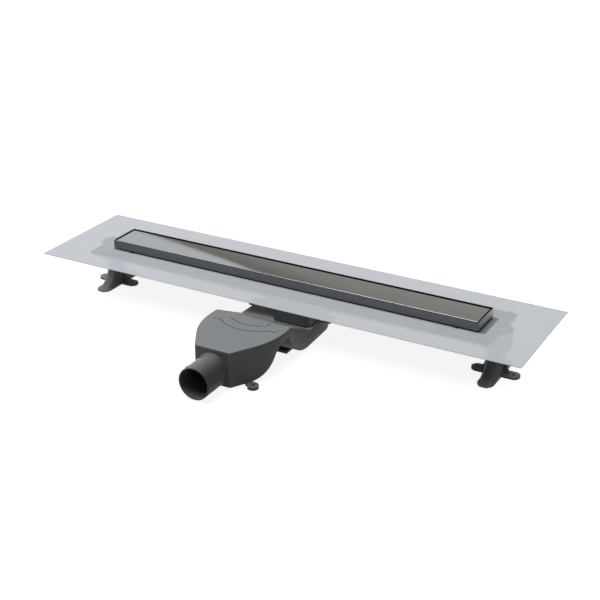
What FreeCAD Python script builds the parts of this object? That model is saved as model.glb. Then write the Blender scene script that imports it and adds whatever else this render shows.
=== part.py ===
import FreeCAD, Part
import math
import os
import Sketcher

Vector = FreeCAD.Vector

# A linear shower drain with a low pear-shaped trap, in millimetres.
# +X runs along the channel, -Y points towards the outlet, +Z is up,
# and the origin is the middle of the cover's top face, at floor finish level.

doc = FreeCAD.newDocument("LinearShowerDrain")
sheet = doc.addObject("Spreadsheet::Sheet", "Sizes")

SIZES = [
    # Sealing sheet and the level of its top below the floor finish
    ("finish_height", 15.0),
    ("membrane_length", 820.0),
    ("membrane_width", 200.0),
    ("membrane_thick", 0.8),
    ("opening_left", 1.0),
    ("opening_right", 10.0),
    # Stainless frame and the cover in it
    ("frame_length", 640.0),
    ("frame_width", 57.0),
    ("frame_lift", 2.0),
    ("rim_proud", 1.0),
    ("frame_wall", 1.5),
    ("frame_ledge", 6.0),
    ("cover_gap", 2.0),
    ("cover_sheet", 1.5),
    ("cover_edge", 0.5),
    ("pad_thick", 3.0),
    ("pad_length", 20.0),
    ("pad_width", 5.0),
    ("pad_inset", 40.0),
    ("clip_width", 6.5),
    ("clip_inset", 35.0),
    ("clip_out", 1.5),
    ("clip_rise", 3.0),
    ("clip_reach", 4.0),
    # Moulded channel
    ("flange_length", 698.0),
    ("flange_width", 119.0),
    ("flange_thick", 3.0),
    ("flange_corner", 8.0),
    ("trough_length", 632.0),
    ("trough_width", 48.0),
    ("trough_end_depth", 16.0),
    ("trough_mid_depth", 23.0),
    ("wall", 2.5),
    ("socket_radius", 22.0),
    ("socket_height", 24.0),
    ("socket_gap", 0.3),
    # Square neck under the channel
    ("neck_centre_x", 26.0),
    ("neck_centre_y", -20.5),
    ("neck_length", 63.5),
    ("neck_width", 65.0),
    ("neck_corner", 8.0),
    ("seal_thick", 2.0),
    ("collar_rise", 5.0),
    ("collar_gap", 0.5),
    # Trap: plan outline
    ("pot_radius", 59.0),
    ("pot_centre_y", -4.0),
    ("side_radius", 120.0),
    ("side_reach", 64.5),
    ("side_centre_y", -138.0),
    ("front_angle", 30.0),
    ("trap_front", 232.0),
    ("trap_corner", 3.5),
    # Trap: side outline, depths below the sheet's top
    ("roof_depth", 14.0),
    ("plate_depth", 46.0),
    ("roof_back", 118.0),
    ("plate_front", 54.0),
    ("roof_thick", 2.5),
    ("front_depth", 69.5),
    ("weir_depth", 27.0),
    ("weir_front", 135.0),
    ("rise_low_radius", 54.0),
    ("rise_high_radius", 30.0),
    ("bowl_depth", 72.0),
    ("bowl_radius", 68.0),
    ("bowl_centre_y", -60.0),
    ("bead_outer_half", 53.0),
    ("bead_outer_bend", 41.0),
    ("bead_outer_y", 143.5),
    ("bead_outer_low", 159.5),
    ("bead_inner_half", 31.0),
    ("bead_inner_y", 131.0),
    ("bead_inner_low", 141.0),
    ("bead_tail", 10.0),
    ("bead_width", 1.2),
    ("bead_depth", 0.8),
    # Outlet spigot
    ("pipe_radius", 25.0),
    ("pipe_wall", 2.0),
    ("pipe_end", 281.0),
    ("pipe_depth", 47.0),
    ("pipe_root", 3.0),
    # Lugs under the trap and the feet
    ("floor_depth", 74.0),
    ("lug_thick", 5.5),
    ("lug_radius", 8.5),
    ("lug_hole", 2.75),
    ("lug_x", 53.0),
    ("lug_y", -209.0),
    ("lug_arm", 13.0),
    ("tab_x", 33.0),
    ("tab_width", 20.0),
    ("tab_front", 94.0),
    ("tab_back", 45.0),
    ("tab_thick", 4.0),
    ("ear_out", 14.0),
    ("ear_width", 16.0),
    ("ear_y", -3.0),
    ("ear_low_thick", 4.0),
    # Removable trap insert and strainer
    ("insert_length", 48.0),
    ("insert_width", 26.0),
    ("insert_centre_y", -7.0),
    ("insert_gap", 1.0),
    ("insert_wall", 1.8),
    ("insert_rim", 3.0),
    ("insert_rim_thick", 2.0),
    ("insert_dip_depth", 58.0),
    ("ring_thick", 1.5),
    ("strainer_thick", 1.5),
    ("strainer_slot", 3.0),
    ("strainer_pitch", 6.0),
    ("strainer_rim", 4.0),
    # Feet
    ("foot_inset", 10.0),
    ("foot_half_width", 12.5),
    ("foot_half_length", 48.5),
    ("foot_neck_half_length", 12.0),
    ("foot_flare_radius", 40.0),
    ("foot_edge", 10.0),
    ("foot_sole", 2.0),
    ("foot_wall", 2.5),
    ("foot_plug_radius", 12.0),
    ("foot_ear_x", 27.5),
    ("foot_ear_y", 3.0),
    ("foot_ear_radius", 10.0),
    ("foot_ear_thick", 3.5),
    ("rib_thick", 3.0),
    ("rib_height", 34.0),
    ("screw_radius", 2.0),
    ("screw_head_radius", 4.0),
    ("screw_head", 2.0),
    ("foot_screw_length", 14.0),
    ("trap_screw_length", 6.0),
]

for row, (alias, number) in enumerate(SIZES, start=1):
    sheet.set(f"A{row}", alias)
    sheet.set(f"B{row}", str(number))
    sheet.setAlias(f"B{row}", alias)
doc.recompute()


def size(alias):
    """The number in one cell of the sheet."""
    return float(getattr(sheet, alias))


def words(expression):
    """Puts the sheet's name before every alias in an expression."""
    out = ""
    name = ""
    for letter in expression + " ":
        if letter.isalnum() or letter == "_":
            name += letter
            continue
        out += f"Sizes.{name}" if name in ALIASES else name
        out += letter
        name = ""
    return out.strip()


ALIASES = {alias for alias, number in SIZES}

# Levels and places that several pieces share
SHEET_TOP = "-finish_height"
FLANGE_TOP = "(-finish_height - membrane_thick)"
FLANGE_LOW = "(-finish_height - membrane_thick - flange_thick)"
FRAME_LOW = "(-finish_height + frame_lift)"
LEDGE_TOP = "(-finish_height + frame_lift + frame_wall)"
PLATE_TOP = "(-finish_height - plate_depth)"
ROOF_TOP = "(-finish_height - roof_depth)"
TROUGH_FLOOR = "(-finish_height - trough_mid_depth)"
FLOOR = "(-finish_height - floor_depth)"
INNER_LENGTH = "(frame_length - 2 * frame_wall)"
INNER_WIDTH = "(frame_width - 2 * frame_wall)"
COVER_LENGTH = "(frame_length - 2 * frame_wall - 2 * cover_gap)"
COVER_WIDTH = "(frame_width - 2 * frame_wall - 2 * cover_gap)"
NECK_LOW = "(-finish_height - plate_depth + seal_thick)"
FOOT_X = "(flange_length / 2 - foot_inset)"


def bind(thing, **expressions):
    """Ties properties to the sheet; a double underscore stands for a dot."""
    for path, expression in expressions.items():
        thing.setExpression(path.replace("__", "."), words(expression))


def place(thing, x="0", y="0", z="0"):
    bind(thing, Placement__Base__x=x, Placement__Base__y=y, Placement__Base__z=z)


# Part primitives and booleans

def box(name, length, width, height, middle_x="0", middle_y="0", low="0"):
    """A box centred on a point in plan, standing on a level."""
    made = doc.addObject("Part::Box", name)
    bind(made, Length=length, Width=width, Height=height)
    place(made, f"{middle_x} - ({length}) / 2", f"{middle_y} - ({width}) / 2", low)
    return made


def cylinder(name, radius, height, x="0", y="0", z="0", lying=False):
    """A cylinder up from its base or, lying, from its base towards -Y."""
    made = doc.addObject("Part::Cylinder", name)
    if lying:
        made.Placement = FreeCAD.Placement(Vector(), FreeCAD.Rotation(Vector(1, 0, 0), 90))
    bind(made, Radius=radius, Height=height)
    place(made, x, y, z)
    return made


def cut(name, base, tool):
    made = doc.addObject("Part::Cut", name)
    made.Base = base
    made.Tool = tool
    return made


def common(name, base, tool):
    made = doc.addObject("Part::Common", name)
    made.Base = base
    made.Tool = tool
    return made


def fuse(name, *shapes):
    made = doc.addObject("Part::MultiFuse", name)
    made.Shapes = list(shapes)
    made.Refine = True
    return made


# PartDesign bodies and sketches

def new_body(name):
    return doc.addObject("PartDesign::Body", name)


def new_sketch(body, name, role="XY_Plane", level="0"):
    sketch = body.newObject("Sketcher::SketchObject", name)
    plane = [item for item in body.Origin.OriginFeatures if item.Role == role][0]
    sketch.AttachmentSupport = [(plane, "")]
    sketch.MapMode = "FlatFace"
    bind(sketch, AttachmentOffset__Base__z=level)
    return sketch


class Outline:
    """A closed outline in a sketch, with its sizes bound to the sheet."""

    START, END, CENTRE = 1, 2, 3

    def __init__(self, sketch):
        self.sketch = sketch
        self.names = 0

    def line(self, start, end):
        return self.sketch.addGeometry(Part.LineSegment(Vector(*start), Vector(*end)), False)

    def arc(self, centre, radius, first, last):
        """An arc that turns left from one angle to another, in degrees."""
        circle = Part.Circle(Vector(*centre), Vector(0, 0, 1), radius)
        turn = Part.ArcOfCircle(circle, math.radians(first), math.radians(last))
        return self.sketch.addGeometry(turn, False)

    def rule(self, kind, *picks):
        return self.sketch.addConstraint(Sketcher.Constraint(kind, *picks))

    def value(self, expression):
        """What an expression on the sheet comes to now."""
        return float(self.sketch.evalExpression(words(expression)))

    def set_size(self, kind, picks, expression):
        """A driving dimension that follows an expression on the sheet."""
        number = self.value(expression)
        if kind == "Angle":
            number = math.radians(number)
        index = self.rule(kind, *picks, number)
        self.names += 1
        name = f"size_{self.names}"
        self.sketch.renameConstraint(index, name)
        unit = " * 1 deg" if kind == "Angle" else " * 1 mm"
        bind(self.sketch, **{f"Constraints__{name}": f"({expression}){unit}"})

    def at_x(self, item, point, expression):
        """Holds a point at a signed distance from the upright axis."""
        self.set_size("DistanceX", (-1, self.START, item, point), expression)

    def at_y(self, item, point, expression):
        """Holds a point at a signed distance from the level axis."""
        self.set_size("DistanceY", (-1, self.START, item, point), expression)


def rectangle(sketch, length, width, middle_x="0", middle_y="0", radius=None):
    """A rectangle, with rounded corners where a radius is given."""
    outline = Outline(sketch)
    low_x = f"{middle_x} - ({length}) / 2"
    high_x = f"{middle_x} + ({length}) / 2"
    low_y = f"{middle_y} - ({width}) / 2"
    high_y = f"{middle_y} + ({width}) / 2"
    x0, x1 = outline.value(low_x), outline.value(high_x)
    y0, y1 = outline.value(low_y), outline.value(high_y)
    bend = outline.value(radius) if radius else 0.0
    sides = [
        outline.line((x0 + bend, y0, 0), (x1 - bend, y0, 0)),
        outline.line((x1, y0 + bend, 0), (x1, y1 - bend, 0)),
        outline.line((x1 - bend, y1, 0), (x0 + bend, y1, 0)),
        outline.line((x0, y1 - bend, 0), (x0, y0 + bend, 0)),
    ]
    corners = [(x1 - bend, y0 + bend), (x1 - bend, y1 - bend), (x0 + bend, y1 - bend), (x0 + bend, y0 + bend)]
    for turn, (side, following) in enumerate(zip(sides, sides[1:] + sides[:1])):
        if radius:
            x, y = corners[turn]
            arc = outline.arc((x, y, 0), bend, 90 * turn - 90, 90 * turn)
            outline.rule("Tangent", side, outline.END, arc, outline.START)
            outline.rule("Tangent", arc, outline.END, following, outline.START)
            outline.set_size("Radius", (arc,), radius)
        else:
            outline.rule("Coincident", side, outline.END, following, outline.START)
    for side, kind in zip(sides, ("Horizontal", "Vertical", "Horizontal", "Vertical")):
        outline.rule(kind, side)
    outline.at_y(sides[0], outline.START, low_y)
    outline.at_x(sides[1], outline.START, high_x)
    outline.at_y(sides[2], outline.START, high_y)
    outline.at_x(sides[3], outline.START, low_x)


def polygon(sketch, corners):
    """A closed polygon whose corners are pairs of expressions."""
    outline = Outline(sketch)
    points = [(outline.value(x), outline.value(y), 0) for x, y in corners]
    sides = [outline.line(a, b) for a, b in zip(points, points[1:] + points[:1])]
    for side, following in zip(sides, sides[1:] + sides[:1]):
        outline.rule("Coincident", side, outline.END, following, outline.START)
    for side, (x, y) in zip(sides, corners):
        outline.at_x(side, outline.START, x)
        outline.at_y(side, outline.START, y)


def pad(body, sketch, length, both_ways=False):
    made = body.newObject("PartDesign::Pad", sketch.Name + "_pad")
    made.Profile = sketch
    if both_ways:
        made.SideType = "Symmetric"
    bind(made, Length=length)
    return made


def pocket(body, sketch, length):
    """Cuts from the sketch's plane downwards."""
    made = body.newObject("PartDesign::Pocket", sketch.Name + "_pocket")
    made.Profile = sketch
    bind(made, Length=length)
    return made


def plate(body, name, length, width, low, thick, middle_x="0", middle_y="0", radius=None):
    """A padded rectangle standing on a level."""
    sketch = new_sketch(body, name, level=low)
    rectangle(sketch, length, width, middle_x, middle_y, radius)
    return pad(body, sketch, thick)


def hole_through(body, name, length, width, top, depth, middle_x="0", middle_y="0", radius=None):
    """A rectangular pocket cut down from a level."""
    sketch = new_sketch(body, name, level=top)
    rectangle(sketch, length, width, middle_x, middle_y, radius)
    return pocket(body, sketch, depth)


parts = []


def sub_part(label, thing):
    """Names a finished piece; the label is the name of its file."""
    thing.Label = label
    parts.append(thing)
    return thing


def copy_of(label, source, x="0", y="0", z="0", turn=0):
    """A second piece with the same shape, turned about +Z and moved."""
    made = doc.addObject("Part::Feature", label)
    doc.recompute()
    made.Shape = source.Shape.copy()
    made.Placement = FreeCAD.Placement(Vector(), FreeCAD.Rotation(Vector(0, 0, 1), turn)).multiply(source.Placement)
    place(made, x, y, z)
    return sub_part(label, made)


# Sealing sheet, its opening flush with the frame's long sides and notched round the clips

def make_membrane():
    body = new_body("membrane")
    thick = "membrane_thick"
    plate(body, "membrane_sheet", "membrane_length", "membrane_width", FLANGE_TOP, thick)
    hole_through(body, "membrane_opening", "frame_length + opening_left + opening_right", "frame_width", SHEET_TOP,
                 thick, "(opening_right - opening_left) / 2")
    for end, sign in (("left", "-"), ("right", "")):
        hole_through(body, f"clip_notch_{end}", "clip_width + 2 * collar_gap", "frame_width + 2 * clip_out + 2 * collar_gap",
                     SHEET_TOP, thick, f"{sign}(frame_length / 2 - clip_inset)")
    return sub_part("sealing_membrane", body)


# Welded frame: an upright wall all round with a ledge turned in at its foot

def make_frame():
    body = new_body("frame")
    depth = "finish_height + rim_proud - frame_lift"
    plate(body, "frame_block", "frame_length", "frame_width", FRAME_LOW, depth)
    hole_through(body, "frame_inside", INNER_LENGTH, INNER_WIDTH, "rim_proud", f"{depth} - frame_wall")
    length = f"{INNER_LENGTH} - 2 * frame_ledge"
    width = f"{INNER_WIDTH} - 2 * frame_ledge"
    hole_through(body, "frame_ledge_edge", length, width, LEDGE_TOP, "frame_wall")
    return sub_part("drain_frame", body)


# Cover: a sheet tray turned upside down, its edges on rubber pads

def make_cover():
    body = new_body("cover")
    height = "finish_height - frame_lift - frame_wall - pad_thick"
    low = f"-({height})"
    top = plate(body, "cover_block", COVER_LENGTH, COVER_WIDTH, low, height)
    doc.recompute()
    edges = [
        f"Edge{number}" for number, edge in enumerate(top.Shape.Edges, start=1)
        if min(vertex.Z for vertex in edge.Vertexes) > -size("cover_edge")
    ]
    rounded = body.newObject("PartDesign::Fillet", "cover_rounding")
    rounded.Base = (top, edges)
    bind(rounded, Radius="cover_edge")
    inside = new_sketch(body, "cover_inside", level=low)
    rectangle(inside, f"{COVER_LENGTH} - 2 * cover_sheet", f"{COVER_WIDTH} - 2 * cover_sheet")
    hollow = pocket(body, inside, f"{height} - cover_sheet")
    hollow.Reversed = True
    return sub_part("cover_plate", body)


def make_cover_pads():
    """Four rubber pads on the ledge, under the cover's folded edges."""
    x = "frame_length / 2 - pad_inset"
    y = f"{INNER_WIDTH} / 2 - pad_width / 2"
    for end, x_sign in (("left", "-"), ("right", "")):
        for side, y_sign in (("front", "-"), ("back", "")):
            pad_box = box(f"pad_{side}_{end}", "pad_length", "pad_width", "pad_thick",
                          f"{x_sign}({x})", f"{y_sign}({y})", LEDGE_TOP)
            sub_part(f"cover_pad_{side}_{end}", pad_box)


# Spacer clips under the frame, each with a lug that shows outside the wall

def clip_body(name):
    """A clip across the frame's front wall, along +Y from the lug inwards."""
    body = new_body(name)
    sketch = new_sketch(body, name + "_section", role="YZ_Plane")
    half = "frame_width / 2"
    lug_top = f"{FRAME_LOW} + clip_rise - frame_lift"
    seat = f"-{half} + collar_gap"
    polygon(sketch, [
        (f"-{half} - clip_out", FLANGE_TOP),
        (f"{seat} + clip_reach", FLANGE_TOP),
        (f"{seat} + clip_reach", FRAME_LOW),
        (f"-{half}", FRAME_LOW),
        (f"-{half}", lug_top),
        (f"-{half} - clip_out", lug_top),
    ])
    pad(body, sketch, "clip_width", both_ways=True)
    return body


def make_frame_clips():
    """Four clips on the long walls and one in the middle of each end wall."""
    pattern = clip_body("clip")
    doc.recompute()
    x = "frame_length / 2 - clip_inset"
    end = "frame_length / 2 - frame_width / 2"
    copy_of("frame_clip_front_left", pattern, x=f"-({x})")
    copy_of("frame_clip_front_right", pattern, x=x)
    copy_of("frame_clip_back_left", pattern, x=f"-({x})", turn=180)
    copy_of("frame_clip_back_right", pattern, x=x, turn=180)
    make_end_clips()


def make_end_clips():
    """Flat spacers on the bare flange under the end walls, flush outside."""
    x = "frame_length / 2 - clip_reach"
    height = "frame_lift + membrane_thick"
    for end, sign in (("left", "-"), ("right", "")):
        spacer = box(f"spacer_{end}", "2 * clip_reach", "clip_width", height, f"{sign}({x})", "0", FLANGE_TOP)
        sub_part(f"frame_spacer_{end}", spacer)


# Channel: flange, sloping trough and square neck in one moulding

def trough_corners(inset):
    """The trough's side outline, with its floor falling to the neck."""
    half = f"trough_length / 2 + {inset}"
    left = f"neck_centre_x - neck_length / 2"
    right = f"neck_centre_x + neck_length / 2"
    end = f"-finish_height - trough_end_depth - {inset}"
    middle = f"-finish_height - trough_mid_depth - {inset}"
    top = FLANGE_TOP
    return [(f"-({half})", top), (f"-({half})", end), (left, middle), (right, middle), (half, end), (half, top)]


def trough_block(name, inset, width):
    body = new_body(name)
    sketch = new_sketch(body, name + "_side", role="XZ_Plane")
    polygon(sketch, trough_corners(inset))
    pad(body, sketch, width, both_ways=True)
    return body


def neck_block(name, inset, low, high):
    body = new_body(name)
    length = f"neck_length - 2 * {inset}"
    width = f"neck_width - 2 * {inset}"
    radius = f"neck_corner - {inset}"
    plate(body, name + "_plan", length, width, low, f"({high}) - ({low})", "neck_centre_x", "neck_centre_y", radius)
    return body


def make_channel():
    flange = new_body("flange")
    plate(flange, "flange_plan", "flange_length", "flange_width", FLANGE_LOW, "flange_thick", radius="flange_corner")
    neck = cut("neck_walls", fuse("flange_and_neck", flange, neck_block("neck_outside", "0", NECK_LOW, FLANGE_LOW)),
               neck_block("neck_inside", "wall", NECK_LOW, FLANGE_LOW))
    trough = trough_block("trough_outside", "wall", "trough_width + 2 * wall")
    pieces = [neck, trough]
    cuts = [
        trough_block("trough_inside", "0", "trough_width"),
        box("insert_seat", "insert_length", "insert_width", "2 * wall + seal_thick",
            "neck_centre_x", "insert_centre_y", f"{TROUGH_FLOOR} - 2 * wall"),
    ]
    for end, x in (("left", f"-{FOOT_X}"), ("right", FOOT_X)):
        pieces.append(cylinder(f"socket_{end}", "socket_radius", "socket_height + flange_thick", x,
                               z=f"{FLANGE_LOW} - socket_height"))
        cuts.append(cylinder(f"socket_bore_{end}", "foot_plug_radius + socket_gap", "socket_height", x,
                             z=f"{FLANGE_LOW} - socket_height"))
        cuts.append(cylinder(f"socket_screw_hole_{end}", "screw_radius", "2 * flange_thick", x, z=FLANGE_LOW))
        cuts.append(screw_head(f"socket_sink_{end}", x, "0", FLANGE_TOP))
    return sub_part("channel_body", cut("channel_moulding", fuse("channel_solid", *pieces),
                                        fuse("channel_cavity", *cuts)))


def screw_head(name, x, y, top):
    """A countersunk head that widens up to a level."""
    cone = doc.addObject("Part::Cone", name)
    bind(cone, Radius1="screw_radius", Radius2="screw_head_radius", Height="screw_head")
    place(cone, x, y, f"{top} - screw_head")
    return cone


def countersunk_screw(label, x, y, top, length):
    shank = cylinder(f"{label}_shank", "screw_radius", f"{length} - screw_head", x, y, f"{top} - {length}")
    return sub_part(label, fuse(f"{label}_solid", shank, screw_head(f"{label}_head", x, y, top)))


def make_neck_seal():
    body = new_body("seal")
    plate(body, "seal_plan", "neck_length", "neck_width", PLATE_TOP, "seal_thick",
          "neck_centre_x", "neck_centre_y", "neck_corner")
    hole_through(body, "seal_inside", "neck_length - 2 * wall", "neck_width - 2 * wall", NECK_LOW, "seal_thick",
                 "neck_centre_x", "neck_centre_y", "neck_corner - wall")
    return sub_part("neck_seal", body)


# Trap: plan outline, a round pot that widens and then narrows to the outlet

def trap_plan(name, inset, low, height):
    body = new_body(name)
    sketch = new_sketch(body, name + "_plan", level=low)
    outline = Outline(sketch)
    pot = f"pot_radius - {inset}"
    side = f"side_radius - {inset}"
    side_x = "side_reach - side_radius"
    pot_radius, side_radius = outline.value(pot), outline.value(side)
    pot_y, side_y = size("pot_centre_y"), size("side_centre_y")
    centre_x = outline.value(side_x)
    front = -outline.value(f"trap_front - {inset}")
    angle = math.radians(size("front_angle"))

    # The line that touches both circles leaves them at this angle
    apart = math.hypot(centre_x, side_y - pot_y)
    touch = math.asin((side_radius - pot_radius) / apart)
    join = touch + math.atan2(centre_x, pot_y - side_y)

    def mirrored(point):
        return (-point[0], point[1], 0)

    pot_end = (pot_radius * math.cos(join), pot_y + pot_radius * math.sin(join), 0)
    side_start = (centre_x + side_radius * math.cos(join), side_y + side_radius * math.sin(join), 0)
    side_end = (centre_x + side_radius * math.cos(angle), side_y - side_radius * math.sin(angle), 0)
    bend = outline.value(f"trap_corner - {inset} / 2")
    tip_x = side_end[0] + (front - side_end[1]) * math.tan(angle)
    back_off = bend * math.tan(math.pi / 4 - angle / 2)
    corner_centre = (tip_x - back_off, front + bend, 0)
    corner_start = (tip_x - back_off, front, 0)
    corner_end = (tip_x + back_off * math.sin(angle), front + back_off * math.cos(angle), 0)

    degrees = math.degrees(join)
    back = outline.arc((0, pot_y, 0), pot_radius, degrees, 180 - degrees)
    right_long = outline.line(side_start, pot_end)
    right_turn = outline.arc((centre_x, side_y, 0), side_radius, -math.degrees(angle), degrees)
    right_front = outline.line(corner_end, side_end)
    right_corner = outline.arc(corner_centre, bend, -90, -math.degrees(angle))
    front_edge = outline.line(mirrored(corner_start), corner_start)
    left_corner = outline.arc(mirrored(corner_centre), bend, 180 + math.degrees(angle), 270)
    left_front = outline.line(mirrored(side_end), mirrored(corner_end))
    left_turn = outline.arc((-centre_x, side_y, 0), side_radius, 180 - degrees, 180 + math.degrees(angle))
    left_long = outline.line(mirrored(pot_end), mirrored(side_start))

    ring = [
        right_long, back, left_long, left_turn, left_front, left_corner, front_edge, right_corner, right_front, right_turn,
    ]
    for item, following in zip(ring, ring[1:] + ring[:1]):
        outline.rule("Tangent", item, outline.END, following, outline.START)
    for turn in (left_corner, right_corner):
        outline.set_size("Radius", (turn,), f"trap_corner - {inset} / 2")
    outline.rule("Horizontal", front_edge)
    outline.at_x(back, outline.CENTRE, "0")
    outline.at_y(back, outline.CENTRE, "pot_centre_y")
    outline.set_size("Radius", (back,), pot)
    for turn, centre in ((right_turn, side_x), (left_turn, f"-({side_x})")):
        outline.at_x(turn, outline.CENTRE, centre)
        outline.at_y(turn, outline.CENTRE, "side_centre_y")
        outline.set_size("Radius", (turn,), side)
    outline.at_y(front_edge, outline.START, f"-(trap_front - {inset})")
    outline.set_size("Angle", (right_front,), "90 - front_angle")
    outline.set_size("Angle", (left_front,), "-90 + front_angle")
    pad(body, sketch, height)
    return body


# Trap: side outline, a deep bowl, a weir and a chamber that falls to the outlet

def trap_side(name, inset, top_rise):
    """The tub's outline from the side; its top follows the roof's underside."""
    body = new_body(name)
    sketch = new_sketch(body, name + "_side", role="YZ_Plane")
    outline = Outline(sketch)

    def level(depth, inwards="0"):
        return f"-finish_height - {depth} + {inwards}"

    front = -outline.value(f"trap_front - {inset}")
    back = outline.value(f"pot_centre_y + pot_radius - {inset} + lug_thick")
    low_radius = outline.value(f"rise_low_radius - {inset}")
    high_radius = outline.value(f"rise_high_radius + {inset}")
    bowl_radius = outline.value(f"bowl_radius - {inset}")
    chamber = outline.value(level("front_depth", inset))
    weir = outline.value(level("weir_depth", inset))
    bowl = outline.value(level("bowl_depth", inset))
    weir_y = -size("weir_front")
    swing = math.acos(1 - (weir - chamber) / (low_radius + high_radius))
    chamber_y = weir_y - (low_radius + high_radius) * math.sin(swing)
    bowl_y = size("bowl_centre_y")
    dip = math.acos((bowl + bowl_radius - weir) / bowl_radius)
    flank_y = bowl_y - bowl_radius * math.sin(dip)
    roof = outline.value(f"{level('roof_depth')} - roof_thick + {top_rise}")
    plate_level = outline.value(f"{level('plate_depth')} - roof_thick + {top_rise}")
    roof_back = -size("roof_back")
    plate_front = -size("plate_front")
    degrees = math.degrees(swing)

    front_wall = outline.line((front, roof, 0), (front, chamber, 0))
    chamber_floor = outline.line((front, chamber, 0), (chamber_y, chamber, 0))
    rise_low = outline.arc((chamber_y, chamber + low_radius, 0), low_radius, 270, 270 + degrees)
    rise_high = outline.arc((weir_y, weir - high_radius, 0), high_radius, 90, 90 + degrees)
    weir_top = outline.line((weir_y, weir, 0), (flank_y, weir, 0))
    bowl_turn = outline.arc((bowl_y, bowl + bowl_radius, 0), bowl_radius, 270 - math.degrees(dip), 270)
    bowl_floor = outline.line((bowl_y, bowl, 0), (back, bowl, 0))
    back_wall = outline.line((back, bowl, 0), (back, plate_level, 0))
    plate_line = outline.line((back, plate_level, 0), (plate_front, plate_level, 0))
    slope = outline.line((plate_front, plate_level, 0), (roof_back, roof, 0))
    roof_line = outline.line((roof_back, roof, 0), (front, roof, 0))

    for item, following in (
        (front_wall, chamber_floor), (weir_top, bowl_turn), (bowl_floor, back_wall), (back_wall, plate_line),
        (plate_line, slope), (slope, roof_line), (roof_line, front_wall),
    ):
        outline.rule("Coincident", item, outline.END, following, outline.START)
    outline.rule("Tangent", chamber_floor, outline.END, rise_low, outline.START)
    outline.rule("Tangent", rise_low, outline.END, rise_high, outline.END)
    outline.rule("Tangent", rise_high, outline.START, weir_top, outline.START)
    outline.rule("Tangent", bowl_turn, outline.END, bowl_floor, outline.START)
    for item in (front_wall, back_wall):
        outline.rule("Vertical", item)
    for item in (chamber_floor, weir_top, bowl_floor, plate_line, roof_line):
        outline.rule("Horizontal", item)
    outline.at_x(front_wall, outline.START, f"-(trap_front - {inset})")
    outline.at_y(front_wall, outline.START, f"{level('roof_depth')} - roof_thick + {top_rise}")
    outline.at_y(chamber_floor, outline.START, level("front_depth", inset))
    outline.set_size("Radius", (rise_low,), f"rise_low_radius - {inset}")
    outline.set_size("Radius", (rise_high,), f"rise_high_radius + {inset}")
    outline.at_x(weir_top, outline.START, "-weir_front")
    outline.at_y(weir_top, outline.START, level("weir_depth", inset))
    outline.set_size("Radius", (bowl_turn,), f"bowl_radius - {inset}")
    outline.at_x(bowl_turn, outline.END, "bowl_centre_y")
    outline.at_y(bowl_floor, outline.END, level("bowl_depth", inset))
    outline.at_x(back_wall, outline.START, f"pot_centre_y + pot_radius - {inset} + lug_thick")
    outline.at_y(plate_line, outline.END, f"{level('plate_depth')} - roof_thick + {top_rise}")
    outline.at_x(plate_line, outline.END, "-plate_front")
    outline.at_x(roof_line, outline.START, "-roof_back")
    pad(body, sketch, "4 * side_reach", both_ways=True)
    return body


def spigot(name, radius, start, end):
    """A cylinder on the outlet's axis between two distances from the origin."""
    return cylinder(name, radius, f"({end}) - ({start})", y=f"-({start})", z="-finish_height - pipe_depth", lying=True)


def screw_lug(name, x, y, towards):
    """A round lug with a hole, on an arm that reaches back to the wall."""
    end = cylinder(name + "_end", "lug_radius", "lug_thick", x, y, FLOOR)
    root = box(name + "_root", "lug_arm", "lug_radius", "lug_thick",
               f"{x} - {towards} * lug_arm / 2", f"{y} + lug_radius / 2", FLOOR)
    hole = cylinder(name + "_hole", "lug_hole", "3 * lug_thick", x, y, f"{FLOOR} - lug_thick")
    return cut(name, fuse(name + "_plate", end, root), hole)


def trap_ear(name, sign, low, thick):
    """An ear beside the pot, reaching in only as far as the pot's wall."""
    reach = "(ear_out + wall)"
    ear = box(name + "_block", reach, "ear_width", thick, f"{sign}(pot_radius + ear_out - {reach} / 2)", "ear_y", low)
    return ear


def ear_screw_holes(name):
    """A hole through each ear, on the line where its screw goes."""
    return [
        cylinder(f"{name}_ear_hole_{end}", "screw_radius", "roof_thick + 2 * ear_low_thick",
                 f"{sign}(pot_radius + ear_out / 2)", "ear_y", f"{PLATE_TOP} - roof_thick - 2 * ear_low_thick")
        for end, sign in (("left", "-"), ("right", ""))
    ]


def make_trap_body():
    tall = "floor_depth"
    outside = common("tub_outside", trap_plan("tub_plan", "0", FLOOR, tall), trap_side("tub_side", "0", "0"))
    inside_plan = trap_plan("tub_inner_plan", "wall", f"{FLOOR}", tall)
    inside = common("tub_inside", inside_plan, trap_side("tub_inner_side", "wall", "roof_thick"))
    pipe = spigot("pipe_outside", "pipe_radius", "trap_front - wall", "pipe_end")
    collar = doc.addObject("Part::Cone", "pipe_collar")
    collar.Placement = FreeCAD.Placement(Vector(), FreeCAD.Rotation(Vector(1, 0, 0), 90))
    bind(collar, Radius1="pipe_radius + pipe_root / 2", Radius2="pipe_radius", Height="2 * pipe_root")
    place(collar, "0", "-trap_front", "-finish_height - pipe_depth")
    bore = spigot("pipe_bore", "pipe_radius - pipe_wall", "trap_front - wall", "pipe_end + wall")
    pieces = [outside, pipe, collar]
    for end, sign in (("left", "-"), ("right", "")):
        pieces.append(screw_lug(f"front_lug_{end}", f"{sign}lug_x", "lug_y", f"{sign}1"))
        length = "tab_front - tab_back"
        pieces.append(box(f"rear_tab_{end}", "tab_width", length, "tab_thick", f"{sign}tab_x",
                          "-(tab_front + tab_back) / 2", FLOOR))
        pieces.append(trap_ear(f"tub_ear_{end}", sign, f"{PLATE_TOP} - roof_thick - ear_low_thick", "ear_low_thick"))
    solid = fuse("tub_solid", *pieces)
    cavity = fuse("tub_cavity", inside, bore, *ear_screw_holes("tub"))
    return sub_part("trap_body", cut("trap_tub", solid, cavity))


# Roof of the trap: flat, then sloping down to the plate that carries the neck

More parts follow.
